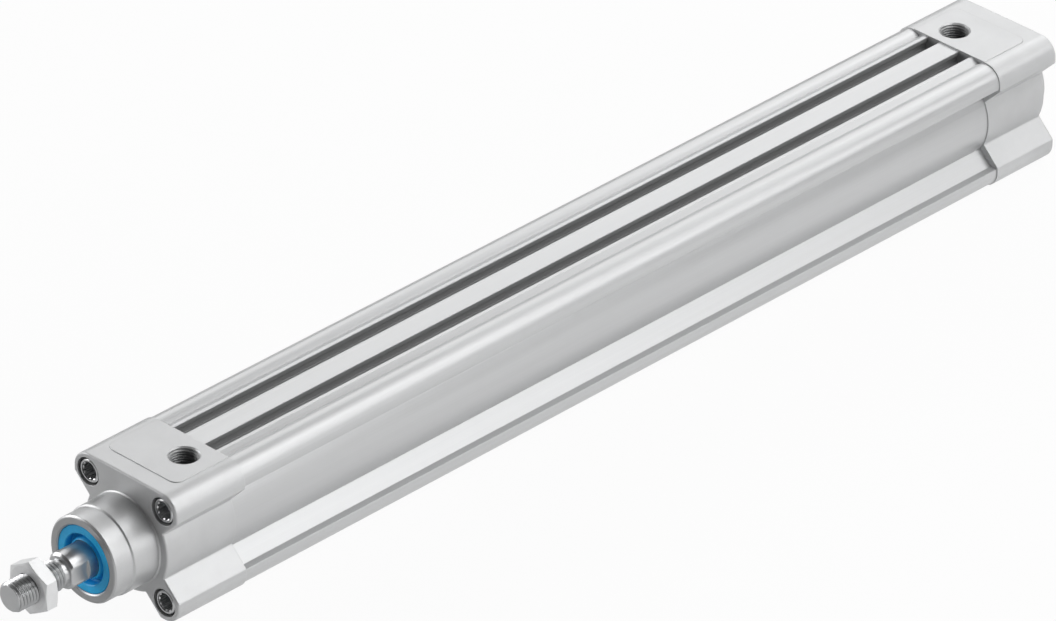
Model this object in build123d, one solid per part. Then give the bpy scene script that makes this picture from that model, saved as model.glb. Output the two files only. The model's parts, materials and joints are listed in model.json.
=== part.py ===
from build123d import *
import os
from math import cos, radians, sqrt

# Pneumatic cylinder with a grooved profile barrel, double acting, rod retracted.
# Origin: centre of the bearing cap's mounting face, on the piston axis.
# +X runs out along the piston rod, +Z up through the ports and sensor slots.

# Driving dimensions, in millimetres
stroke = 300.0
bore_d = 32.0
rod_d = 12.0
bearing_cap_length = 28.5
end_cap_length = 27.0
spigot_length = 9.0
piston_length = 20.0

# Clearances
running = 0.05
seal_running = 0.04
seat_gap = 0.02
end_gap = 0.05
free_gap = 0.3
past_face = 1.0

# Cap cross-section
cap_margin = 6.5
corner_r = 6.25
cap_wall = 2.0
lug_trim = 0.45
cap_lug_round = 0.8
cap_waist_round = 0.6
cap_edge_round = 0.6
pad_inset = 0.75
pad_setback = 6.7
pad_corner_r = 3.0
pad_rise = 0.2

# Barrel cross-section
barrel_inset = 0.4
barrel_wall = 1.6
web_wall = 0.68
bead_ledge = 1.45
bead_round = 0.35
land_width = 4.0
land_fall = 1.0
rail_wall = 0.75
rail_round = 0.25
slot_mouth = 5.15
slot_inner = 6.6
slot_lip = 1.5
slot_depth = 4.3

# Locating collars
collar_d = 29.9
collar_length = 18.0
collar_wide_length = 10.2
collar_step = 0.5
collar_chamfer = 0.6
end_collar_length = 4.0
end_recess_d = 22.0
end_recess_depth = 2.5

# Rod end
rod_reach = 8.4
rod_thread_length = 21.6
thread_step = 1.0
thread_chamfer = 0.8
relief_step = 0.65
relief_length = 1.8
shoulder_chamfer = 0.8
flat_depth = 1.0
flat_length = 6.0

# Lock nut
nut_wall = 3.0
nut_thickness = 5.0
nut_setback = 7.5
nut_face_inset = 0.5
nut_chamfer = 0.6

# Air ports, G 1/8 at the thread's major diameter
port_thread_d = 9.73
port_chamfer = 0.35
port_depth = 9.0
port_passage_d = 5.0
port_offset_y = 5.2
bearing_port_x = 19.7
end_port_x = 18.6

# Collar screws, M6 inside at the major diameter
screw_thread_d = 6.0
screw_thread_depth = 16.0
socket_step = 0.2
socket_depth = 4.0
head_wall = 0.75
head_gap = 0.75
head_recess = 0.4
head_seat_depth = 19.5
barrel_thread_d = 5.0
shank_hole_gap = 0.35
shank_grip = 16.0
drill_past = 2.0
screw_edge = 0.3

# Rod seal and bush
seal_d = 22.7
seal_length = 8.6
seal_recess = 0.4
seal_edge = 0.3
seal_rim = 2.6
dish_depth = 3.6
dish_round = 0.7
gutter = 1.26
lip_setback = 1.9
lip_land = 0.4
lip_root = 0.86
rear_lip_length = 2.6
well_chamfer = 0.4
bush_wall = 2.0
bush_ledge = 3.0

# Cushioning
boss_wall = 2.0
boss_length = 18.0
boss_step_length = 4.0
boss_floor = 6.0
boss_chamfer = 1.2
chamber_gap = 1.0
chamber_room = 6.0
cushion_seal_height = 3.0
cushion_groove_width = 3.6
cushion_land = 1.9
cushion_lip = 0.9
buffer_margin = 2.0
buffer_width = 2.0
buffer_depth = 1.2
buffer_proud = 0.2
buffer_edge = 0.3

# Spigot O-rings
o_ring_height = 1.8
o_ring_groove_width = 2.6
o_ring_setback = 3.2
o_ring_side_gap = 0.2
o_ring_round = 0.5

# Piston
piston_gap = 0.4
piston_chamfer = 0.4
spindle_step = 2.0
spindle_past_nut = 4.0
spindle_chamfer = 0.5
piston_nut_wall = 1.5
piston_nut_thickness = 6.0
piston_nut_room = 0.35
piston_land = 1.25
band_thickness = 1.8
seal_space = 3.4
seal_groove_width = 3.6
seal_groove_setback = 2.6
seal_lip = 0.9
seal_heel = 1.2
seal_valley = 1.6
magnet_cover = 1.6
magnet_thickness = 3.5
spindle_ring_height = 1.55
spindle_ring_width = 1.7
spindle_ring_setback = 2.1
spindle_ring_side_gap = 0.1
spindle_ring_round = 0.3

# Radii and widths that follow
bore_r = bore_d / 2
rod_r = rod_d / 2
half_cap = bore_r + cap_margin
half_pitch = half_cap - corner_r
cap_width = 2 * half_cap
cap_body_r = bore_r + cap_wall
cap_lug_line = sqrt(2) * (corner_r - lug_trim)
pad_half_width = half_pitch - pad_inset
half_barrel = half_cap - barrel_inset
barrel_body_r = bore_r + barrel_wall
barrel_web_width = barrel_thread_d + 2 * web_wall
bead_start = half_pitch - bead_ledge
bead_r = half_barrel - half_pitch
land_foot = half_pitch - sqrt(bead_r ** 2 - (bead_r - land_fall) ** 2)
top_rail_half = bead_start - land_width
slot_centre = top_rail_half - rail_wall - slot_inner / 2
collar_r = collar_d / 2
nose_r = collar_r - collar_step
seal_r = seal_d / 2
well_r = seal_r + running
bush_r = rod_r + bush_wall
thread_r = rod_r - thread_step
relief_r = thread_r - relief_step
spindle_r = rod_r - spindle_step
spindle_hole_r = spindle_r + seat_gap
boss_r = rod_r + boss_wall
chamber_r = boss_r + chamber_gap
cushion_groove_r = boss_r + cushion_seal_height
buffer_outer_r = bore_r - buffer_margin
buffer_inner_r = buffer_outer_r - buffer_width
o_ring_groove_r = bore_r - o_ring_height
piston_r = bore_r - piston_gap
seal_groove_r = bore_r - seal_space
band_seat_r = bore_r - band_thickness - 2 * running
magnet_outer_r = band_seat_r - magnet_cover
magnet_inner_r = magnet_outer_r - magnet_thickness
nut_across = 2 * (thread_r + nut_wall)
piston_nut_across = 2 * (spindle_r + piston_nut_wall)
nut_pocket_r = piston_nut_across / 2 / cos(radians(30)) + piston_nut_room
port_thread_r = port_thread_d / 2
screw_thread_r = screw_thread_d / 2
socket_r = screw_thread_r + socket_step
head_r = socket_r + head_wall
shank_r = barrel_thread_d / 2 - running

# Stations along the axis that follow
travel_gap = buffer_proud + end_gap
barrel_length = stroke + piston_length + 2 * (spigot_length + travel_gap)
barrel_front = -bearing_cap_length
barrel_back = barrel_front - barrel_length
rear_face = barrel_back - end_cap_length
spigot_front = barrel_front - spigot_length
spigot_back = barrel_back + spigot_length
piston_back = spigot_back + travel_gap
piston_front = piston_back + piston_length
piston_mid = (piston_back + piston_front) / 2
band_setback = seal_groove_setback + seal_groove_width + piston_land + end_gap
band_width = piston_length - 2 * band_setback
chamber_depth = boss_length + chamber_room
bush_back_x = spigot_front + chamber_depth + bush_ledge
rod_step_x = piston_front + boss_length - boss_step_length
nut_seat_x = piston_back - boss_floor
rod_projection = collar_length + rod_reach
rod_end_x = rod_projection + rod_thread_length
seal_front_x = collar_length - seal_recess
seal_back_x = seal_front_x - seal_length
corners = [(y, z) for y in (-half_pitch, half_pitch) for z in (-half_pitch, half_pitch)]


def along_x(outline, start, end):
    """Extrudes an outline drawn in Y and Z between two stations on the axis."""
    low, high = min(start, end), max(start, end)
    plane = Plane(origin=(low, 0, 0), x_dir=(0, 1, 0), z_dir=(1, 0, 0))
    return extrude(plane * outline, amount=high - low)


def turned(*points):
    """Revolves a closed outline of (station on the axis, radius) points about the axis."""
    outline = make_face(Polyline(*points, close=True))
    return revolve(outline, axis=Axis.X)


def ring(start, end, inner_r, outer_r):
    """A plain ring about the axis between two stations."""
    return turned((start, inner_r), (end, inner_r), (end, outer_r), (start, outer_r))


def disc(start, end, radius):
    """A plain round bar about the axis between two stations."""
    return turned((start, 0), (end, 0), (end, radius), (start, radius))


def soft_ring(start, end, inner_r, outer_r, cut):
    """A ring with its four edges cut off, for an O-ring in its groove."""
    return turned((start, inner_r + cut), (start + cut, inner_r), (end - cut, inner_r),
                  (end, inner_r + cut), (end, outer_r - cut), (end - cut, outer_r),
                  (start + cut, outer_r), (start, outer_r - cut))


def bars_at(places, radius, start, end):
    """Round bars parallel to the axis at the given (y, z) places."""
    return [along_x(Pos(y, z) * Circle(radius), start, end) for y, z in places]


def upright_bar(x, y, bottom, top, radius):
    """A round bar along Z between two heights."""
    return Pos(x, y, (bottom + top) / 2) * Cylinder(radius, top - bottom)


def mirrored(points):
    """Turns (station, radius) points end for end about the piston's middle."""
    return [(2 * piston_mid - x, r) for x, r in points]


# Cap outline: rounded square, waisted between its corner lugs on three sides
def waist_outline():
    """The area between two 45 degree lug faces, outside the round body."""
    reach = cap_width - cap_lug_line
    edges = Polyline((cap_lug_line, 0), (cap_width, reach), (cap_width, -reach), close=True)
    return make_face(edges) - Circle(cap_body_r)


def cap_outline():
    outline = RectangleRounded(cap_width, cap_width, corner_r)
    for turn in (0, 180, 270):
        outline -= Rot(0, 0, turn) * waist_outline()
    lug_tips = [v for v in outline.vertices()
                if abs(max(abs(v.X), abs(v.Y)) - half_cap) < seat_gap
                and abs(min(abs(v.X), abs(v.Y)) - half_cap + cap_lug_line) < seat_gap]
    outline = fillet(lug_tips, cap_lug_round)
    waist_roots = [v for v in outline.vertices()
                   if abs(sqrt(v.X ** 2 + v.Y ** 2) - cap_body_r) < seat_gap]
    return fillet(waist_roots, cap_waist_round)


def cap_block(inner_x, outer_x):
    """The cast block of a cap, with its outer rim rounded and a low pad round the port."""
    side = 1 if outer_x > inner_x else -1
    length = abs(outer_x - inner_x)
    block = along_x(cap_outline(), inner_x, outer_x)
    outer_face = block.faces().sort_by(Axis.X)[-1 if side > 0 else 0]
    block = fillet(outer_face.outer_wire().edges(), cap_edge_round)
    pad_length = length - pad_setback
    pad_shape = RectangleRounded(pad_length + 2 * pad_corner_r, 2 * pad_half_width, pad_corner_r)
    pad_mid = outer_x - side * (pad_setback + pad_length / 2 + pad_corner_r)
    pad = Pos(pad_mid, 0, half_cap - past_face) * extrude(pad_shape, amount=past_face + pad_rise)
    over_block = Pos((inner_x + outer_x) / 2, 0, half_cap) * Box(length, cap_width, cap_width)
    return block + (pad & over_block)


def port_cut(x, y):
    """The threaded air port, its chamfered mouth and the passage down to the cushion chamber."""
    top = half_cap + pad_rise
    floor = top - port_depth
    hole = upright_bar(x, y, floor, top + past_face, port_thread_r)
    mouth = Pos(x, y, top - port_chamfer / 2) * Cone(
        port_thread_r, port_thread_r + port_chamfer, port_chamfer)
    passage = upright_bar(x, y, chamber_r / 2, floor + past_face, port_passage_d / 2)
    return hole + mouth + passage


def screw_cuts(face_x, side, block_end):
    """The deep wells for the collar screws' heads and the holes for their shanks."""
    seat = face_x - side * head_seat_depth
    wells = bars_at(corners, head_r + head_gap, seat, face_x)
    return wells + bars_at(corners, shank_r + shank_hole_gap, block_end, face_x)


def spigot(block_end, side):
    """The turned spigot that centres a cap in the bore, with its ring grooves."""
    tip = block_end - side * spigot_length
    body = disc(block_end, tip, bore_r - running)
    mid = block_end - side * o_ring_setback
    half = o_ring_groove_width / 2
    body -= ring(mid - half, mid + half, o_ring_groove_r, bore_r)
    return body - ring(tip, tip + side * buffer_depth, buffer_inner_r, buffer_outer_r)


def chamber_cut(tip, side):
    """The cushion chamber that the boss enters, and the groove for its lip seal."""
    land = tip + side * cushion_land
    chamber = disc(tip, tip + side * chamber_depth, chamber_r)
    return chamber + disc(land, land + side * cushion_groove_width, cushion_groove_r)


def make_bearing_cap():
    wide_end = collar_wide_length
    cap = cap_block(barrel_front, 0)
    cap += turned((-past_face, 0), (-past_face, collar_r), (wide_end, collar_r),
                  (wide_end + collar_step, nose_r), (collar_length - collar_chamfer, nose_r),
                  (collar_length, nose_r - collar_chamfer), (collar_length, 0))
    cap += spigot(barrel_front, 1)
    cap -= disc(seal_back_x, collar_length, well_r)
    cap -= turned((collar_length - well_chamfer, 0), (collar_length, 0),
                  (collar_length, well_r + well_chamfer), (collar_length - well_chamfer, well_r))
    cap -= disc(bush_back_x, seal_back_x, bush_r + seat_gap)
    cap -= disc(spigot_front, bush_back_x, rod_r + free_gap)
    cap -= chamber_cut(spigot_front, 1)
    cap -= port_cut(-bearing_port_x, port_offset_y)
    for cut in screw_cuts(0, 1, barrel_front):
        cap -= cut
    return cap


def make_end_cap():
    collar_end = rear_face - end_collar_length
    cap = cap_block(barrel_back, rear_face)
    cap += turned((rear_face + past_face, 0), (rear_face + past_face, collar_r),
                  (collar_end + collar_chamfer, collar_r),
                  (collar_end, collar_r - collar_chamfer), (collar_end, 0))
    cap += spigot(barrel_back, -1)
    cap -= disc(collar_end, collar_end + end_recess_depth, end_recess_d / 2)
    cap -= chamber_cut(spigot_back, -1)
    cap -= port_cut(rear_face + end_port_x, -port_offset_y)
    for cut in screw_cuts(rear_face, -1, barrel_back):
        cap -= cut
    return cap


# Barrel outline: round body, corner beads on 45 degree webs, slotted rail on top
def barrel_outline():
    width = 2 * half_barrel
    envelope = RectangleRounded(width, width, bead_r)
    web = Rot(0, 0, 45) * Rectangle(2 * width, barrel_web_width)
    webs = web + Rot(0, 0, 90) * web
    bead_width = half_barrel - bead_start
    bead_mid = half_barrel - bead_width / 2
    bead = Pos(bead_mid, bead_mid) * RectangleRounded(bead_width, bead_width, bead_round) & bead_circle(1)
    beads = Sketch() + [Rot(0, 0, turn) * bead for turn in (0, 90, 180, 270)]
    rail = Pos(0, half_barrel / 2) * RectangleRounded(2 * top_rail_half, half_barrel, rail_round)
    lands = Sketch() + [land_outline(side) for side in (-1, 1)]
    return Circle(barrel_body_r) + ((webs + beads) & envelope) + rail + lands


def bead_circle(side):
    """The round of an upper corner bead."""
    return Pos(side * half_pitch, half_pitch) * Circle(bead_r)


def land_outline(side):
    """Land that falls from the rail and meets the round of a corner bead in a V."""
    inner = side * (top_rail_half - rail_round)
    outer = side * half_pitch
    foot = side * land_foot
    low = bead_start - bead_ledge
    block = make_face(Polyline((inner, half_barrel), (outer, half_barrel), (outer, low), (inner, low), close=True))
    slope = make_face(Polyline((inner, half_barrel), (foot, half_barrel - land_fall), (foot, low), (inner, low),
                               close=True))
    return slope + (bead_circle(side) & block)


def slot_outline(y):
    """One sensor slot: a mouth between two lips, and a wider channel below them."""
    channel_height = slot_depth - slot_lip
    mouth = Pos(y, half_barrel) * Rectangle(slot_mouth, 2 * slot_lip + seat_gap)
    channel = Pos(y, half_barrel - slot_lip - channel_height / 2) * Rectangle(slot_inner, channel_height)
    return mouth + channel


def make_barrel():
    outline = barrel_outline() - Circle(bore_r)
    for y in (-slot_centre, slot_centre):
        outline -= slot_outline(y)
    barrel = along_x(outline, barrel_back, barrel_front)
    for end, side in ((barrel_front, 1), (barrel_back, -1)):
        deep = end - side * (shank_grip + drill_past)
        for hole in bars_at(corners, barrel_thread_d / 2, end, deep):
            barrel -= hole
    return barrel


# Collar screws: long hollow head with an inner thread, then a shank into the barrel
def make_collar_screws(face_x, side, block_end):
    """Four screws whose mouths lie just inside a cap's outer face."""
    mouth = face_x - side * head_recess
    edge = mouth - side * screw_edge
    socket_end = mouth - side * socket_depth
    thread_end = mouth - side * screw_thread_depth
    seat = face_x - side * head_seat_depth
    tip = block_end - side * shank_grip
    screw = turned((mouth, socket_r), (mouth, head_r - screw_edge), (edge, head_r), (seat, head_r),
                   (seat, shank_r), (tip + side * screw_edge, shank_r), (tip, shank_r - screw_edge),
                   (tip, 0), (thread_end, 0), (thread_end, screw_thread_r),
                   (socket_end, screw_thread_r), (socket_end, socket_r))
    return Compound(children=[Pos(0, y, z) * screw for y, z in corners])


# Rod seal: blue one-piece wiper and lip seal, held in the collar's nose
def make_rod_seal():
    lip_r = rod_r + seal_running
    front, back = seal_front_x, seal_back_x
    rim_r = seal_r - seal_rim
    gutter_r = rod_r + gutter
    root_r = rod_r + lip_root
    dish = front - dish_depth
    lip = front - lip_setback
    return turned((back, seal_r), (front - seal_edge, seal_r), (front, seal_r - seal_edge),
                  (front, rim_r), (front - seal_edge, rim_r - seal_edge),
                  (dish + dish_round, rim_r - seal_edge), (dish, rim_r - seal_edge - dish_round),
                  (dish, gutter_r), (dish + dish_round, root_r),
                  (lip, lip_r + seal_edge), (lip, lip_r), (lip - lip_land, lip_r),
                  (dish - dish_round, root_r), (back + rear_lip_length, root_r),
                  (back + rear_lip_length / 2, lip_r), (back + lip_land, lip_r), (back, root_r))


def make_rod_bush():
    return ring(bush_back_x + end_gap, seal_back_x - end_gap, rod_r + seal_running, bush_r)


def make_spigot_ring(block_end, side):
    """Static O-ring between a spigot's groove and the bore."""
    mid = block_end - side * o_ring_setback
    half = o_ring_groove_width / 2 - o_ring_side_gap
    return soft_ring(mid - half, mid + half, o_ring_groove_r + seat_gap, bore_r - seat_gap, o_ring_round)


def make_cushion_seal(tip, side):
    """Lip seal that closes on the cushion boss."""
    start = tip + side * (cushion_land + seat_gap)
    end = tip + side * (cushion_land + cushion_groove_width - seat_gap)
    low, high = boss_r + seal_running, cushion_groove_r - seat_gap
    third = (end - start) / 3
    return turned((start, low + cushion_lip), (start + third, low), (end - third, low),
                  (end, low + cushion_lip / 2), (end, high), (start, high))


def make_buffer(tip, side):
    """Soft end-stop ring that stands a little proud of the spigot's tip."""
    start = tip - side * buffer_proud
    end = tip + side * (buffer_depth - seat_gap)
    shoulder = start + side * buffer_edge
    inner, outer = buffer_inner_r + seat_gap, buffer_outer_r - seat_gap
    return turned((start, inner + buffer_edge), (start, outer - buffer_edge), (shoulder, outer),
                  (end, outer), (end, inner), (shoulder, inner))


# Piston rod: threaded end, wrench flats, ground rod and the spindle that holds the piston
def make_piston_rod():
    relief_start = rod_projection + shoulder_chamfer
    relief_end = relief_start + relief_length
    spindle_end = nut_seat_x - piston_nut_thickness - spindle_past_nut
    rod = turned((spindle_end, 0), (spindle_end, spindle_r - spindle_chamfer),
                 (spindle_end + spindle_chamfer, spindle_r), (rod_step_x, spindle_r),
                 (rod_step_x, rod_r), (rod_projection, rod_r),
                 (relief_start, rod_r - shoulder_chamfer), (relief_start, relief_r),
                 (relief_end, relief_r), (relief_end + relief_step, thread_r),
                 (rod_end_x - thread_chamfer, thread_r),
                 (rod_end_x, thread_r - thread_chamfer), (rod_end_x, 0))
    flat_start = rod_projection - flat_length
    for side in (-1, 1):
        middle = Pos((flat_start + relief_start) / 2, side * (2 * rod_r - flat_depth), 0)
        rod -= middle * Box(relief_start - flat_start, 2 * rod_r, 2 * rod_d)
    return rod


def hex_nut(start, end, across, hole_r):
    """A hexagon nut with corners up and down and a cone chamfer on both faces."""
    corner_r = across / 2 / cos(radians(30))
    face_r = across / 2 - nut_face_inset
    slope = nut_chamfer / (corner_r - face_r)
    outside = corner_r + past_face
    reach = slope * (outside - face_r)
    blank = along_x(Rot(0, 0, 90) * RegularPolygon(corner_r, 6), start, end)
    envelope = turned((start, 0), (start, face_r), (start + reach, outside),
                      (end - reach, outside), (end, face_r), (end, 0))
    return (blank & envelope) - disc(start, end, hole_r)


def make_lock_nut():
    front = rod_end_x - nut_setback
    return hex_nut(front - nut_thickness, front, nut_across, thread_r + running)


# Piston: two mirrored halves round a ring magnet, with lip seals and a guide band
def piston_half_points():
    groove_start = piston_front - seal_groove_setback
    groove_end = groove_start - seal_groove_width
    band_end = piston_mid + band_width / 2 + end_gap
    magnet_end = piston_mid + band_width / 2 + seat_gap
    pocket_outer, pocket_inner = magnet_outer_r + seat_gap, magnet_inner_r - seat_gap
    return [(piston_front, spindle_hole_r), (piston_front, piston_r - piston_chamfer),
            (piston_front - piston_chamfer, piston_r), (groove_start, piston_r),
            (groove_start, seal_groove_r), (groove_end, seal_groove_r), (groove_end, piston_r),
            (band_end, piston_r), (band_end, band_seat_r), (piston_mid, band_seat_r),
            (piston_mid, pocket_outer), (magnet_end, pocket_outer), (magnet_end, pocket_inner),
            (piston_mid, pocket_inner), (piston_mid, spindle_hole_r)]


def make_piston_front_half():
    end = piston_front - spindle_ring_setback
    start = end - spindle_ring_width - 2 * spindle_ring_side_gap
    groove = ring(start, end, spindle_r, spindle_r + spindle_ring_height)
    return turned(*piston_half_points()) - groove


def make_piston_ring():
    """O-ring that seals the piston on its spindle."""
    end = piston_front - spindle_ring_setback - spindle_ring_side_gap
    outer_r = spindle_r + spindle_ring_height - seat_gap
    return soft_ring(end - spindle_ring_width, end, spindle_hole_r, outer_r, spindle_ring_round)


def make_magnet():
    half = band_width / 2
    return ring(piston_mid - half, piston_mid + half, magnet_inner_r, magnet_outer_r)


def make_guide_band():
    half = band_width / 2
    return ring(piston_mid - half, piston_mid + half, band_seat_r + running, bore_r - running)


def lip_seal_points():
    """Cup seal whose open side faces the pressure."""
    start = piston_front - seal_groove_setback - end_gap
    end = start - seal_groove_width + 2 * end_gap
    low, high = seal_groove_r + running, bore_r - seal_running
    heel_r = high - seal_lip / 2
    return [(end, low), (end, heel_r), (end + seal_heel, heel_r), (start - seal_lip, high),
            (start, high), (start, high - seal_lip), (end + seal_valley, (low + high) / 2),
            (start, low + seal_lip), (start, low)]


# Cushion bosses each side of the piston, and the nut that holds the stack on the spindle
def make_front_boss():
    tip = piston_front + boss_length
    bore = rod_r + seat_gap
    return turned((piston_front, spindle_hole_r), (piston_front, boss_r),
                  (tip - boss_chamfer, boss_r), (tip, boss_r - boss_chamfer / 2),
                  (tip, bore), (rod_step_x, bore), (rod_step_x, spindle_hole_r))


def make_rear_boss():
    tip = piston_back - boss_length
    return turned((piston_back, spindle_hole_r), (piston_back, boss_r),
                  (tip + boss_chamfer, boss_r), (tip, boss_r - boss_chamfer / 2),
                  (tip, nut_pocket_r), (nut_seat_x, nut_pocket_r), (nut_seat_x, spindle_hole_r))


def make_piston_nut():
    return hex_nut(nut_seat_x - piston_nut_thickness, nut_seat_x, piston_nut_across, spindle_hole_r)


nodes = {
    "barrel_profile": make_barrel(),
    "bearing_cap": make_bearing_cap(),
    "end_cap": make_end_cap(),
    "bearing_cap_screws": make_collar_screws(0, 1, barrel_front),
    "end_cap_screws": make_collar_screws(rear_face, -1, barrel_back),
    "rod_wiper_seal": make_rod_seal(),
    "rod_bush": make_rod_bush(),
    "bearing_cap_o_ring": make_spigot_ring(barrel_front, 1),
    "end_cap_o_ring": make_spigot_ring(barrel_back, -1),
    "front_cushion_seal": make_cushion_seal(spigot_front, 1),
    "rear_cushion_seal": make_cushion_seal(spigot_back, -1),
    "front_buffer_ring": make_buffer(spigot_front, 1),
    "rear_buffer_ring": make_buffer(spigot_back, -1),
    "piston_rod": make_piston_rod(),
    "lock_nut": make_lock_nut(),
    "piston_front_half": make_piston_front_half(),
    "piston_rear_half": turned(*mirrored(piston_half_points())),
    "piston_o_ring": make_piston_ring(),
    "piston_magnet": make_magnet(),
    "piston_guide_band": make_guide_band(),
    "front_piston_seal": turned(*lip_seal_points()),
    "rear_piston_seal": turned(*mirrored(lip_seal_points())),
    "front_cushion_boss": make_front_boss(),
    "rear_cushion_boss": make_rear_boss(),
    "piston_nut": make_piston_nut(),
}

os.makedirs("parts", exist_ok=True)
for name, solid in nodes.items():
    export_step(solid, f"parts/{name}.step")
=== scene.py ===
import json
import math

import bpy
from mathutils import Matrix, Vector


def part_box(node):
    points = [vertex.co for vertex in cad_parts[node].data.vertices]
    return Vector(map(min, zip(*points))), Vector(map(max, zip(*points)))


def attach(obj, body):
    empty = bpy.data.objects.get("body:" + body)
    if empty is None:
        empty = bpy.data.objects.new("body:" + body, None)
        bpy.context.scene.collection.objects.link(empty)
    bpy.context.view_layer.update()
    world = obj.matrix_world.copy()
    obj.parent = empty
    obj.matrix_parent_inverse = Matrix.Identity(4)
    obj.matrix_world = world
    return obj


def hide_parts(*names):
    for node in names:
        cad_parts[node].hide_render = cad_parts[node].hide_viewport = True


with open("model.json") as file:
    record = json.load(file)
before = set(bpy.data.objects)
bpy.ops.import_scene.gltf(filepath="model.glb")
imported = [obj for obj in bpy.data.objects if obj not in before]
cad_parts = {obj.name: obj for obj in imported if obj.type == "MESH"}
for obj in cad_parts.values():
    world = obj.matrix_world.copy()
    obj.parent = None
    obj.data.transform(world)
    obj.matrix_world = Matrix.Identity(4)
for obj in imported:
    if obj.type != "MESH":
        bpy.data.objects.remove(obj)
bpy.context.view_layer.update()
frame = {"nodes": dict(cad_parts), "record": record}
nodes = frame["nodes"]

# Lengths are in millimetres, and a line that differs says so
MM = 0.001

# Faces of the caps with the way each looks along X, and the air ports' places in X and Y
CAP_FACES = (("bearing_cap", 0.0, 1), ("end_cap", -394.0, -1))
PORTS = (("bearing_cap", -19.7, 5.2), ("end_cap", -375.4, -5.2))


# Camera: the photograph's own view, fitted to its edges, with angles in radians
AZIMUTH, ELEVATION, ROLL = 2.348493, 0.542246, 0.000489
DISTANCE, SIDE, RISE = 2937.786, -121.2914, -68.4259
FOCAL_PX, FRAME_W, SENSOR_W = 9733.439, 1056, 36
NEAR_CLIP, FAR_CLIP = 100, 50000


def make_camera():
    back = Vector((math.sin(AZIMUTH) * math.cos(ELEVATION),
                   -math.cos(AZIMUTH) * math.cos(ELEVATION), math.sin(ELEVATION)))
    level = Vector((0, 0, 1)).cross(back).normalized()
    upright = back.cross(level)
    right = level * math.cos(ROLL) + upright * math.sin(ROLL)
    up = upright * math.cos(ROLL) - level * math.sin(ROLL)
    data = bpy.data.cameras.new("camera")
    data.sensor_width = SENSOR_W
    data.lens = SENSOR_W * FOCAL_PX / FRAME_W
    data.clip_start = NEAR_CLIP * MM
    data.clip_end = FAR_CLIP * MM
    cam = bpy.data.objects.new("camera", data)
    place = (back * DISTANCE - right * SIDE - up * RISE) * MM
    turn = Matrix((right, up, back)).transposed()
    cam.matrix_world = Matrix.Translation(place) @ turn.to_4x4()
    bpy.context.collection.objects.link(cam)
    bpy.context.scene.camera = cam


# Node helpers: most values of a noise lie between the low and high one here
NOISE_LOW, NOISE_HIGH, NOISE_ROUGHNESS = 0.3, 0.7, 0.55
BUMP_STRENGTH, BEVEL_SAMPLES = 0.5, 4


def new_material(name):
    mat = bpy.data.materials.new(name)
    mat.use_nodes = True
    tree = mat.node_tree
    return mat, tree, tree.nodes["Principled BSDF"]


def link(tree, source, target):
    """Links an output to a socket, or sets the socket where the source is a number."""
    if isinstance(source, (int, float)):
        target.default_value = source
    else:
        tree.links.new(source, target)


def noise(tree, scale, detail):
    """Noise in object coordinates, with a scale per metre on each axis."""
    tex = tree.nodes.new("ShaderNodeTexCoord")
    mapping = tree.nodes.new("ShaderNodeMapping")
    mapping.inputs["Scale"].default_value = scale
    link(tree, tex.outputs["Object"], mapping.inputs["Vector"])
    node = tree.nodes.new("ShaderNodeTexNoise")
    node.inputs["Scale"].default_value = 1.0
    node.inputs["Detail"].default_value = detail
    node.inputs["Roughness"].default_value = NOISE_ROUGHNESS
    link(tree, mapping.outputs["Vector"], node.inputs["Vector"])
    return node.outputs["Fac"]


def ramp(tree, value, dark, light):
    """A colour that runs from dark to light over the range of a noise."""
    node = tree.nodes.new("ShaderNodeValToRGB")
    first, last = node.color_ramp.elements
    first.position, last.position = NOISE_LOW, NOISE_HIGH
    first.color, last.color = (*dark, 1), (*light, 1)
    link(tree, value, node.inputs["Fac"])
    return node.outputs["Color"]


def mottled(tree, value, colour, factor):
    """A colour that is darker by a factor where the noise is low."""
    return ramp(tree, value, tuple(c * factor for c in colour), colour)


def remap(tree, value, low, high, start=NOISE_LOW, end=NOISE_HIGH):
    """A value that goes from low to high while the given one goes from start to end."""
    node = tree.nodes.new("ShaderNodeMapRange")
    node.inputs["From Min"].default_value = start
    node.inputs["From Max"].default_value = end
    node.inputs["To Min"].default_value = low
    node.inputs["To Max"].default_value = high
    link(tree, value, node.inputs["Value"])
    return node.outputs["Result"]


def fade(tree, place, low, high, limits):
    """A value that goes from low to high between two limits of a place."""
    start, end = limits
    return remap(tree, place, low, high, start * MM, end * MM)


def math_node(tree, kind, first, second):
    node = tree.nodes.new("ShaderNodeMath")
    node.operation = kind
    link(tree, first, node.inputs[0])
    link(tree, second, node.inputs[1])
    return node.outputs["Value"]


def blend(tree, first, share, second):
    """A share of the first value and the rest of the second."""
    return math_node(tree, "ADD", math_node(tree, "MULTIPLY", first, share),
                     math_node(tree, "MULTIPLY", second, 1 - share))


def mix_value(tree, mask, first, second):
    """The first value where the mask is 0 and the second where it is 1."""
    node = tree.nodes.new("ShaderNodeMix")
    node.data_type = "FLOAT"
    factor, _, low, high = node.inputs[:4]
    link(tree, mask, factor)
    link(tree, first, low)
    link(tree, second, high)
    return node.outputs[0]


def bump(tree, shader, height, distance, edge=0.0):
    """Surface relief; with an edge size it also rounds hard edges a little."""
    node = tree.nodes.new("ShaderNodeBump")
    node.inputs["Strength"].default_value = BUMP_STRENGTH
    node.inputs["Distance"].default_value = distance * MM
    link(tree, height, node.inputs["Height"])
    if edge:
        soften = tree.nodes.new("ShaderNodeBevel")
        soften.samples = BEVEL_SAMPLES
        soften.inputs["Radius"].default_value = edge * MM
        link(tree, soften.outputs["Normal"], node.inputs["Normal"])
    link(tree, node.outputs["Normal"], shader.inputs["Normal"])


def axes(tree):
    """Object coordinates in metres, with one output for each axis."""
    tex = tree.nodes.new("ShaderNodeTexCoord")
    split = tree.nodes.new("ShaderNodeSeparateXYZ")
    link(tree, tex.outputs["Object"], split.inputs["Vector"])
    return split.outputs


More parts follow.
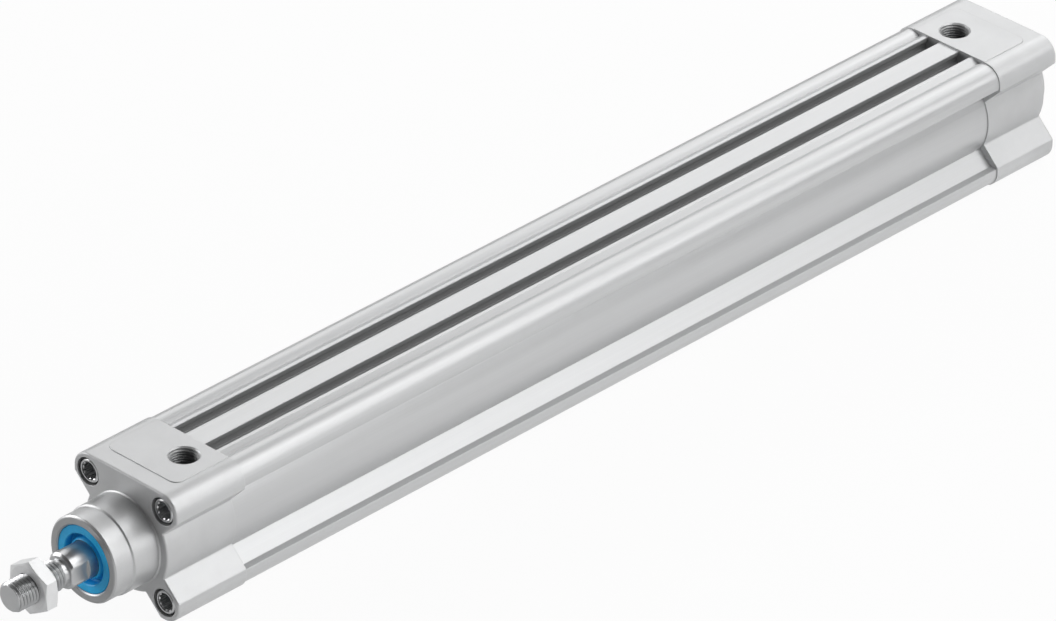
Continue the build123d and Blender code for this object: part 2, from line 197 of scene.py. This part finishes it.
def within(tree, position, limits):
    """A mask of 1 between the low and high limits of each named axis."""
    mask = 1.0
    for axis, (low, high) in limits.items():
        above = math_node(tree, "GREATER_THAN", position[axis], low * MM)
        below = math_node(tree, "LESS_THAN", position[axis], high * MM)
        mask = math_node(tree, "MULTIPLY", mask, math_node(tree, "MULTIPLY", above, below))
    return mask


def paint_shade(tree, colour, mask, tone):
    """A colour with painted shade: darker by a tone where the mask is 1."""
    node = tree.nodes.new("ShaderNodeMix")
    node.data_type, node.blend_type = "RGBA", "MULTIPLY"
    link(tree, mask, node.inputs["Factor"])
    link(tree, colour, node.inputs["A"])
    node.inputs["B"].default_value = (tone, tone, tone, 1)
    return node.outputs["Result"]


# Material values: the slot, port, nose and valley tones are painted shade that darkens the place named
# with them, and scales are per metre
EDGE_ROUND, STEEL_EDGE_ROUND = 0.3, 0.15
ANODISED, ANODISED_METAL = (0.60, 0.605, 0.61), 0.5
DIE_LINES, BROAD_LINES = (14, 2600, 2600), (5, 260, 260)
SLOT_SPACE, SLOT_SHADE = {"Y": (-10.4, 10.4), "Z": (17.2, 21.8)}, 0.6
CAST, CAST_METAL, TURNED_METAL = (0.61, 0.615, 0.62), 0.52, 0.6
CAST_GRAIN, CAST_CLOUD, LATHE_RINGS = (2400, 2400, 2400), (120, 120, 120), (5200, 30, 30)
TURNED_FROM = 0.2
PORT_HALF, PORT_DEPTH, PORT_SHADE = 5.0, (9.0, 22.3), 0.6
NOSE_FACE, NOSE_SHADE = (17.8, 18.5), 0.75
THREAD_SPAN, THREAD_VALLEY, VALLEY_SHADE = (29.0, 47.5), (4.3, 4.6), 0.5
FINE_GRAIN, ZINC_GRAIN, METAL_CLOUD = (3000, 3000, 3000), (2600, 2600, 2600), (300, 300, 300)
DRAWN_LINES, GROUND_RINGS, TURNED_RINGS = (400, 3000, 3000), (6000, 120, 120), (5000, 60, 60)
SOFT_GRAIN, SOFT_CLOUD = (2200, 2200, 2200), (260, 260, 260)


def profile_material():
    """Clear anodised extrusion: satin, with fine die lines along the barrel and painted shade inside the
    slots.
    """
    mat, tree, shader = new_material("anodised_profile")
    lines = noise(tree, DIE_LINES, 4)
    broad = noise(tree, BROAD_LINES, 2)
    finish_and_shade = mottled(tree, blend(tree, lines, 0.6, broad), ANODISED, 0.93)
    # Painted shade: the inside of the T-slots is darkened.
    in_slot = within(tree, axes(tree), SLOT_SPACE)
    link(tree, paint_shade(tree, finish_and_shade, in_slot, SLOT_SHADE), shader.inputs["Base Color"])
    link(tree, remap(tree, lines, 0.32, 0.42), shader.inputs["Roughness"])
    shader.inputs["Metallic"].default_value = ANODISED_METAL
    bump(tree, shader, lines, 0.01, EDGE_ROUND)
    return mat


def turned_mask(tree, position):
    """A mask of 1 beyond the faces of the caps, where the collars are turned."""
    (_, front_x, _), (_, rear_x, _) = CAP_FACES
    front = math_node(tree, "GREATER_THAN", position["X"], (front_x + TURNED_FROM) * MM)
    rear = math_node(tree, "LESS_THAN", position["X"], (rear_x - TURNED_FROM) * MM)
    return math_node(tree, "MAXIMUM", front, rear)


def cap_material():
    """Blasted die casting, with turned rings beyond the caps' faces, and painted shade in the air ports
    and on the nose face.
    """
    mat, tree, shader = new_material("cast_cap")
    grain = noise(tree, CAST_GRAIN, 3)
    cloud = noise(tree, CAST_CLOUD, 3)
    rings = noise(tree, LATHE_RINGS, 3)
    position = axes(tree)
    turned = turned_mask(tree, position)
    finish_and_shade = mottled(tree, blend(tree, grain, 0.35, cloud), CAST, 0.92)
    # Painted shade: the bores of the air ports are darkened.
    for _, x, y in PORTS:
        bore = {"X": (x - PORT_HALF, x + PORT_HALF), "Y": (y - PORT_HALF, y + PORT_HALF),
                "Z": PORT_DEPTH}
        finish_and_shade = paint_shade(tree, finish_and_shade, within(tree, position, bore), PORT_SHADE)
    # Painted shade: the nose face is darkened.
    finish_and_shade = paint_shade(tree, finish_and_shade, within(tree, position, {"X": NOSE_FACE}), NOSE_SHADE)
    link(tree, finish_and_shade, shader.inputs["Base Color"])
    cast_rough = remap(tree, grain, 0.38, 0.5)
    turned_rough = remap(tree, rings, 0.38, 0.48)
    link(tree, mix_value(tree, turned, cast_rough, turned_rough), shader.inputs["Roughness"])
    link(tree, mix_value(tree, turned, CAST_METAL, TURNED_METAL), shader.inputs["Metallic"])
    bump(tree, shader, mix_value(tree, turned, grain, rings), 0.02, EDGE_ROUND)
    return mat


def thread_root_shade(tree):
    """A mask for painted shade that grows to 1 at the root of the thread on the rod."""
    position = axes(tree)
    across = math_node(tree, "MULTIPLY", position["Y"], position["Y"])
    upward = math_node(tree, "MULTIPLY", position["Z"], position["Z"])
    radius = math_node(tree, "POWER", math_node(tree, "ADD", across, upward), 0.5)
    depth = fade(tree, radius, 1.0, 0.0, THREAD_VALLEY)
    return math_node(tree, "MULTIPLY", depth, within(tree, position, {"X": THREAD_SPAN}))


def steel_material(name, colour, rough, scale, bump_height, metallic=1.0, shade_thread_roots=False):
    """Ground, plated or turned metal, with lines or grain set by the scale on each axis, and painted
    shade at thread roots where asked.
    """
    mat, tree, shader = new_material(name)
    lines = noise(tree, scale, 3)
    tone = blend(tree, lines, 0.5, noise(tree, METAL_CLOUD, 2))
    finish_and_shade = mottled(tree, tone, colour, 0.9)
    # Painted shade: the roots of the rod's thread are darkened.
    if shade_thread_roots:
        finish_and_shade = paint_shade(tree, finish_and_shade, thread_root_shade(tree), VALLEY_SHADE)
    link(tree, finish_and_shade, shader.inputs["Base Color"])
    link(tree, remap(tree, tone, *rough), shader.inputs["Roughness"])
    shader.inputs["Metallic"].default_value = metallic
    bump(tree, shader, lines, bump_height, STEEL_EDGE_ROUND)
    return mat


def soft_material(name, colour, rough, specular=0.5):
    """Moulded rubber or plastic with a fine matte grain."""
    mat, tree, shader = new_material(name)
    grain = noise(tree, SOFT_GRAIN, 2)
    tone = blend(tree, grain, 0.3, noise(tree, SOFT_CLOUD, 3))
    link(tree, mottled(tree, tone, colour, 0.85), shader.inputs["Base Color"])
    link(tree, remap(tree, grain, *rough), shader.inputs["Roughness"])
    shader.inputs["Specular IOR Level"].default_value = specular
    bump(tree, shader, grain, 0.01)
    return mat


MATERIALS = {
    "anodised_profile": profile_material(),
    "cast_cap": cap_material(),
    "screw_steel": steel_material("screw_steel", (0.60, 0.605, 0.61), (0.28, 0.42), FINE_GRAIN, 0.01),
    "blue_seal": soft_material("blue_seal", (0.03, 0.53, 1.0), (0.36, 0.48), specular=0.3),
    "black_seal": soft_material("black_seal", (0.02, 0.02, 0.022), (0.45, 0.6)),
    "bearing_metal": steel_material("bearing_metal", (0.55, 0.42, 0.22), (0.3, 0.45), DRAWN_LINES, 0.01),
    "rod_steel": steel_material("rod_steel", (0.56, 0.565, 0.57), (0.27, 0.34), GROUND_RINGS, 0.001,
                                metallic=0.85, shade_thread_roots=True),
    "nut_zinc": steel_material("nut_zinc", (0.88, 0.885, 0.89), (0.3, 0.4), ZINC_GRAIN, 0.002,
                               metallic=0.5),
    "piston_plastic": soft_material("piston_plastic", (0.05, 0.05, 0.055), (0.4, 0.55)),
    "magnet": soft_material("magnet", (0.07, 0.06, 0.06), (0.5, 0.65)),
    "guide_plastic": soft_material("guide_plastic", (0.72, 0.70, 0.62), (0.35, 0.5)),
    "boss_aluminium": steel_material("boss_aluminium", (0.74, 0.745, 0.75), (0.25, 0.4), TURNED_RINGS,
                                     0.008),
}


def dress_nodes():
    """Puts each CAD node in the material of its slot in the record."""
    slots = {part["node"]: part["material_slot"] for part in frame["record"]["subparts"]}
    for name, obj in nodes.items():
        obj.data.materials.clear()
        obj.data.materials.append(MATERIALS[slots[name]])


# Mesh helpers
ROUND_STEPS = 96


def make_piece(name, verts, faces, slot_name, body, sharp=35):
    """Object with sharp edges above an angle in degrees, which rides on a body."""
    mesh = bpy.data.meshes.new(name)
    mesh.from_pydata([tuple(c * MM for c in v) for v in verts], [], faces)
    mesh.validate()
    mesh.shade_smooth()
    mesh.set_sharp_from_angle(angle=math.radians(sharp))
    mesh.materials.append(MATERIALS[slot_name])
    obj = bpy.data.objects.new(name, mesh)
    bpy.context.collection.objects.link(obj)
    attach(obj, body)
    return obj


def turns(steps):
    """Angles that share out a full turn."""
    return [2 * math.pi * k / steps for k in range(steps)]


def grid_faces(rows, columns, closed_rows=False):
    """Quads of a grid whose columns close on themselves."""
    faces = []
    last = rows if closed_rows else rows - 1
    for i in range(last):
        a, b = i * columns, ((i + 1) % rows) * columns
        for j in range(columns):
            after = (j + 1) % columns
            faces.append((a + j, a + after, b + after, b + j))
    return faces


def join_parts(parts):
    """One list of vertices and one of faces from several pairs of them."""
    verts, faces = [], []
    for v, f in parts:
        start = len(verts)
        verts += v
        faces += [tuple(i + start for i in face) for face in f]
    return verts, faces


def lathe(outline, base_x, side):
    """Closed ring about the rod's axis from (station, radius) points, turned round where side is -1."""
    angles = turns(ROUND_STEPS)
    verts = [(base_x + side * s, r * math.cos(t), r * math.sin(t)) for s, r in outline for t in angles]
    faces = grid_faces(len(outline), ROUND_STEPS, closed_rows=True)
    if side < 0:
        faces = [tuple(reversed(f)) for f in faces]
    return verts, faces


def hole_points(origin, axis, side):
    """A function for the point at a depth, radius and turn in a hole that runs against its axis."""
    origin, axis, side = Vector(origin), Vector(axis), Vector(side)
    other = axis.cross(side)

    def point(depth, radius, turn):
        across = side * (radius * math.cos(turn))
        return tuple(origin - axis * depth + across + other * (radius * math.sin(turn)))

    return point


# Threads: the flat share at crest and root, and the fit of a sleeve in its hole
THREAD_FLAT, ROWS_PER_PITCH, THREAD_LEAD = 0.12, 8, 0.4
ROOT_GAP, SLEEVE_GAP = 0.02, 0.004


def thread_depth(phase, depth):
    """How far a thread's wall lies from its crest at a phase of 0 to 1 along one pitch."""
    p = abs((phase % 1.0) * 2 - 1)
    p = (p - THREAD_FLAT) / (1 - 2 * THREAD_FLAT)
    return depth * min(max(p, 0.0), 1.0)


def thread_sleeve(origin, axis, hole_r, depth, pitch, length, steps=64):
    """Thin sleeve with helical ridges that lines a plain hole, from its mouth against the axis."""
    point = hole_points(origin, axis, Vector(axis).orthogonal().normalized())
    count = int(length / pitch * ROWS_PER_PITCH)
    angles = turns(steps)
    verts = []
    for i in range(count + 1):
        s = length * i / count
        lead = min(s / THREAD_LEAD, 1.0) * min((length - s) / THREAD_LEAD, 1.0)
        for t in angles:
            ridge = depth - thread_depth(s / pitch + t / (2 * math.pi), depth)
            verts.append(point(s, hole_r - ROOT_GAP - ridge * max(lead, 0.0), t))
    for s in (length, 0.0):
        verts += [point(s, hole_r - SLEEVE_GAP, t) for t in angles]
    return verts, grid_faces(count + 3, steps, closed_rows=True)


# Piston rod: spindle, ground bar, wrench flats, shoulder, relief groove and fine thread
ROD_R, SPINDLE_R, CENTRE_R = 6.0, 4.0, 0.02
ROD_TAIL, STEP_X, TAIL_CHAMFER = -373.75, -323.75, 0.5
BAR_ROWS = (-250.0, -120.0, 0.0)
FLAT_START, FLAT_EDGE, FLAT_Y = 20.4, 0.001, 5.0
SHOULDER_X, SHOULDER_CUT, SHOULDER_EDGE = 26.4, 0.79, 0.02
RELIEF_X, RELIEF_END, RELIEF_R, RELIEF_CORNER = 27.2, 29.0, 4.35, 0.15
THREAD_R, PITCH, THREAD_CUT = 5.0, 1.25, 0.74
THREAD_GAP, THREAD_RISE, THREAD_STEP = 0.1, 0.6, 0.09
TIP_X, TIP_CHAMFER, TIP_RINGS = 48.0, 0.8, (0.6, 0.2)


def rod_profile():
    """Stations and radii of the rod from its tail to the end of the relief groove."""
    spindle = [(ROD_TAIL, CENTRE_R), (ROD_TAIL, SPINDLE_R - TAIL_CHAMFER),
               (ROD_TAIL + TAIL_CHAMFER, SPINDLE_R), (STEP_X, SPINDLE_R), (STEP_X, ROD_R)]
    bar = [(x, ROD_R) for x in (*BAR_ROWS, FLAT_START - FLAT_EDGE, FLAT_START, SHOULDER_X)]
    half_cut = (RELIEF_X - SHOULDER_X) / 2
    shoulder = [(SHOULDER_X + half_cut, ROD_R - half_cut),
                (RELIEF_X - SHOULDER_EDGE, ROD_R - SHOULDER_CUT), (RELIEF_X, THREAD_R)]
    relief = [(RELIEF_X + RELIEF_CORNER, RELIEF_R), (RELIEF_END - THREAD_GAP, RELIEF_R)]
    return spindle + bar + shoulder + relief


def make_rod():
    flat_angle = math.acos(FLAT_Y / ROD_R)
    flat_edges = {(s * flat_angle + t) % (2 * math.pi) for s in (-1, 1) for t in (0, math.pi)}
    angles = sorted(set(turns(ROUND_STEPS)) | flat_edges)
    rows = rod_profile()
    verts = []
    for x, r in rows:
        for t in angles:
            y, z = r * math.cos(t), r * math.sin(t)
            if FLAT_START <= x <= RELIEF_X - SHOULDER_EDGE / 2:
                y = min(max(y, -FLAT_Y), FLAT_Y)
            verts.append((x, y, z))
    count = int((TIP_X - RELIEF_END) / THREAD_STEP)
    for i in range(count + 1):
        x = RELIEF_END + (TIP_X - RELIEF_END) * i / count
        lead_in = min(max((x - RELIEF_END) / THREAD_RISE, 0.0), 1.0)
        top = min(RELIEF_R + (THREAD_R - RELIEF_R) * lead_in, THREAD_R,
                  THREAD_R - TIP_CHAMFER + (TIP_X - x))
        for t in angles:
            cut = thread_depth(x / PITCH - t / (2 * math.pi), THREAD_CUT)
            r = min(top, THREAD_R - cut)
            verts.append((x, r * math.cos(t), r * math.sin(t)))
    for share in TIP_RINGS:
        r = (THREAD_R - TIP_CHAMFER) * share
        verts += [(TIP_X, r * math.cos(t), r * math.sin(t)) for t in angles]
    n = len(angles)
    total = len(rows) + count + 1 + len(TIP_RINGS)
    faces = [tuple(reversed(f)) for f in grid_faces(total, n)]
    faces.append(tuple(range(n)))
    faces.append(tuple(reversed(range((total - 1) * n, total * n))))
    rod = make_piece("rod_turned", verts, faces, "rod_steel", "rod_assembly")
    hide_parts("piston_rod")


# Threads of the air ports, below a chamfer in the pad of each cap
PAD_TOP, PORT_CHAMFER = 22.7, 0.36
PORT_R, PORT_CUT, PORT_PITCH, PORT_LENGTH = 4.865, 0.55, 0.907, 8.3


def make_port_threads():
    for cap, x, y in PORTS:
        mouth = (x, y, PAD_TOP - PORT_CHAMFER)
        verts, faces = thread_sleeve(mouth, (0, 0, 1), PORT_R, PORT_CUT, PORT_PITCH, PORT_LENGTH)
        make_piece(cap + "_port_thread", verts, faces, "cast_cap", "housing", sharp=60)


# Concave fillet where each turned collar meets the cast face of its cap
COLLAR_R, COLLAR_FILLET, FILLET_SINK, FILLET_ARCS = 14.95, 0.45, 0.05, 6


def make_collar_fillets():
    outline = []
    for i in range(FILLET_ARCS + 1):
        turn = math.pi / 2 * i / FILLET_ARCS
        outline.append((COLLAR_FILLET * (1 - math.sin(turn)),
                        COLLAR_R + COLLAR_FILLET * (1 - math.cos(turn))))
    outline += [(-FILLET_SINK, COLLAR_R + COLLAR_FILLET), (-FILLET_SINK, COLLAR_R - FILLET_SINK),
                (COLLAR_FILLET, COLLAR_R - FILLET_SINK)]
    for cap, face_x, side in CAP_FACES:
        verts, faces = lathe(outline, face_x, side)
        make_piece(cap + "_collar_fillet", verts, faces, "cast_cap", "housing")


# Wiper lip that stands round the rod in the dish of the blue seal: tip, outer slope and root
LIP_TIP = [(17.05, 6.14), (17.1, 6.3), (16.95, 6.5)]
LIP_SLOPE = [(16.4, 6.75), (15.5, 7.25), (15.1, 7.3)]
LIP_ROOT = [(15.1, 6.9), (15.6, 6.14)]


def make_wiper_lip():
    verts, faces = lathe(LIP_TIP + LIP_SLOPE + LIP_ROOT, 0.0, 1)
    make_piece("rod_wiper_lip", verts, faces, "blue_seal", "housing", sharp=50)


# Collar screws: twelve-point driver recess and the inner thread below it
SCREW_AT, RECESS_SINK, RECESS_DEPTH, RECESS_STEPS = 16.25, 0.4, 4.0, 72
MOUTH_DEPTH, MOUTH_R, BACK_R = 0.35, 3.17, 3.195
POINTS, POINT_TOP, POINT_R, POINT_CUT = 12, 0.7, 3.16, 0.42
POINT_WIDTH, POINT_SLOPE = 0.25, 2.2
INNER_SINK, INNER_STEPS = 4.45, 40
INNER_R, INNER_CUT, INNER_PITCH, INNER_LENGTH = 3.0, 0.5, 1.0, 11.5


def point_radius(turn):
    """Radius of the recess, which narrows between its points."""
    wave = abs(((turn * POINTS / (2 * math.pi)) % 1.0) * 2 - 1)
    return POINT_R - POINT_CUT * min(max((wave - POINT_WIDTH) * POINT_SLOPE, 0.0), 1.0)


def recess_ring(origin, axis):
    """Twelve-point recess inside the round mouth of a collar screw."""
    point = hole_points(origin, axis, (0, 1, 0))
    angles = turns(RECESS_STEPS)
    mouth, back = [MOUTH_R] * RECESS_STEPS, [BACK_R] * RECESS_STEPS
    points = [point_radius(t) for t in angles]
    rows = ((MOUTH_DEPTH, mouth), (POINT_TOP, points), (RECESS_DEPTH, points),
            (RECESS_DEPTH, back), (MOUTH_DEPTH, back))
    verts = [point(s, r, t) for s, radii in rows for r, t in zip(radii, angles)]
    return verts, grid_faces(len(rows), RECESS_STEPS, closed_rows=True)


def make_screw_details():
    for cap, face_x, side in CAP_FACES:
        axis = (side, 0, 0)
        rings, threads = [], []
        for y in (-SCREW_AT, SCREW_AT):
            for z in (-SCREW_AT, SCREW_AT):
                rings.append(recess_ring((face_x - side * RECESS_SINK, y, z), axis))
                threads.append(thread_sleeve((face_x - side * INNER_SINK, y, z), axis, INNER_R,
                                             INNER_CUT, INNER_PITCH, INNER_LENGTH, INNER_STEPS))
        make_piece(cap + "_screw_recesses", *join_parts(rings), "screw_steel", "housing", sharp=30)
        make_piece(cap + "_screw_threads", *join_parts(threads), "screw_steel", "housing", sharp=60)


# Floor: its shades of grey, how white it is to the camera and in reflections, and the painted shade that
# dims its reflections
FLOOR_HALF, FLOOR_GAP = 6000, 0.6
FLOOR_DARK, FLOOR_LIGHT, FLOOR_GRAIN = (0.76, 0.76, 0.76), (0.80, 0.80, 0.80), (30, 30, 30)
FLOOR_ROUGHNESS, FLOOR_SPECULAR = 0.9, 0.1
SEEN_WHITE, MIRRORED_WHITE, MIRRORED_SHADE = 0.94, 0.8, 0.1
SHADE_AHEAD, SHADE_BESIDE, SHADE_BEHIND = (-5, 10), (12, 30), (-400, -385)


def floor_shade(tree):
    """A mask of 1 before the nose and behind the rear, where painted shade dims the floor's glow in
    reflections.
    """
    position = axes(tree)
    ahead = fade(tree, position["X"], 0.0, 1.0, SHADE_AHEAD)
    beside = fade(tree, position["Y"], 1.0, 0.0, SHADE_BESIDE)
    behind = fade(tree, position["X"], 1.0, 0.0, SHADE_BEHIND)
    return math_node(tree, "MAXIMUM", math_node(tree, "MULTIPLY", ahead, beside), behind)


def floor_material():
    """Pale grey that keeps shadows, with a white glow to the camera and in reflections, which painted
    shade dims before the nose and behind the rear.
    """
    mat, tree, shader = new_material("pale_floor")
    grey = ramp(tree, noise(tree, FLOOR_GRAIN, 2), FLOOR_DARK, FLOOR_LIGHT)
    link(tree, grey, shader.inputs["Base Color"])
    shader.inputs["Roughness"].default_value = FLOOR_ROUGHNESS
    shader.inputs["Specular IOR Level"].default_value = FLOOR_SPECULAR
    rays = tree.nodes.new("ShaderNodeLightPath").outputs
    seen = math_node(tree, "MAXIMUM", rays["Is Camera Ray"], rays["Is Transmission Ray"])
    # Painted shade: the glow seen in reflections is dimmed where the mask is 1.
    mirrored_tone = mix_value(tree, floor_shade(tree), MIRRORED_WHITE, MIRRORED_SHADE)
    mirrored = math_node(tree, "MULTIPLY", rays["Is Glossy Ray"], mirrored_tone)
    share = math_node(tree, "MAXIMUM", math_node(tree, "MULTIPLY", seen, SEEN_WHITE), mirrored)
    glow = tree.nodes.new("ShaderNodeEmission")
    glow.inputs["Color"].default_value = (1, 1, 1, 1)
    glow.inputs["Strength"].default_value = 1.0
    mix = tree.nodes.new("ShaderNodeMixShader")
    link(tree, share, mix.inputs["Fac"])
    link(tree, shader.outputs["BSDF"], mix.inputs[1])
    link(tree, glow.outputs["Emission"], mix.inputs[2])
    link(tree, mix.outputs["Shader"], tree.nodes["Material Output"].inputs["Surface"])
    return mat


def make_floor():
    """Square floor just below the barrel."""
    half = FLOOR_HALF * MM
    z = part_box("barrel_profile")[0][2] - FLOOR_GAP * MM
    mesh = bpy.data.meshes.new("floor")
    corners = [(-half, -half, z), (half, -half, z), (half, half, z), (-half, half, z)]
    mesh.from_pydata(corners, [], [(0, 1, 2, 3)])
    floor = bpy.data.objects.new("floor", mesh)
    bpy.context.collection.objects.link(floor)
    mesh.materials.append(floor_material())


# Softboxes with place, width and height in metres and power in watts, and an even world light
LAMPS = {
    "softbox_high": ((-0.71, 0.9, 1.46), 1.2, 1.0, 14),
    "softbox_near": ((-1.266, 1.186, 0.791), 0.9, 0.5, 3.7),
    "softbox_far": ((-1.267, -1.079, 0.935), 1.6, 1.0, 9.7),
    "softbox_low": ((-0.45, 1.71, 0.453), 1.2, 0.6, 10),
    "softbox_back": ((-1.603, -0.179, 1.075), 1.0, 1.0, 6.5),
    "softbox_front": ((0.634, -1.519, 0.536), 1.0, 1.0, 17),
}
LAMP_TARGET = (-0.17, 0, 0)
WORLD_STRENGTH = 0.04


def make_lights():
    for name, (place, width, height, watts) in LAMPS.items():
        data = bpy.data.lights.new(name, "AREA")
        data.shape = "RECTANGLE"
        data.size, data.size_y = width, height
        data.energy = watts
        lamp = bpy.data.objects.new(name, data)
        lamp.location = place
        aim = Vector(place) - Vector(LAMP_TARGET)
        lamp.rotation_euler = aim.to_track_quat("Z", "Y").to_euler()
        bpy.context.collection.objects.link(lamp)


def make_world():
    world = bpy.data.worlds.new("studio")
    bpy.context.scene.world = world
    world.use_nodes = True
    background = world.node_tree.nodes["Background"]
    background.inputs["Strength"].default_value = WORLD_STRENGTH
    background.inputs["Color"].default_value = (1, 1, 1, 1)


make_camera()
dress_nodes()
make_rod()
make_port_threads()
make_collar_fillets()
make_wiper_lip()
make_screw_details()
make_floor()
make_world()
make_lights()

scene = bpy.context.scene
scene.view_settings.view_transform = "Standard"
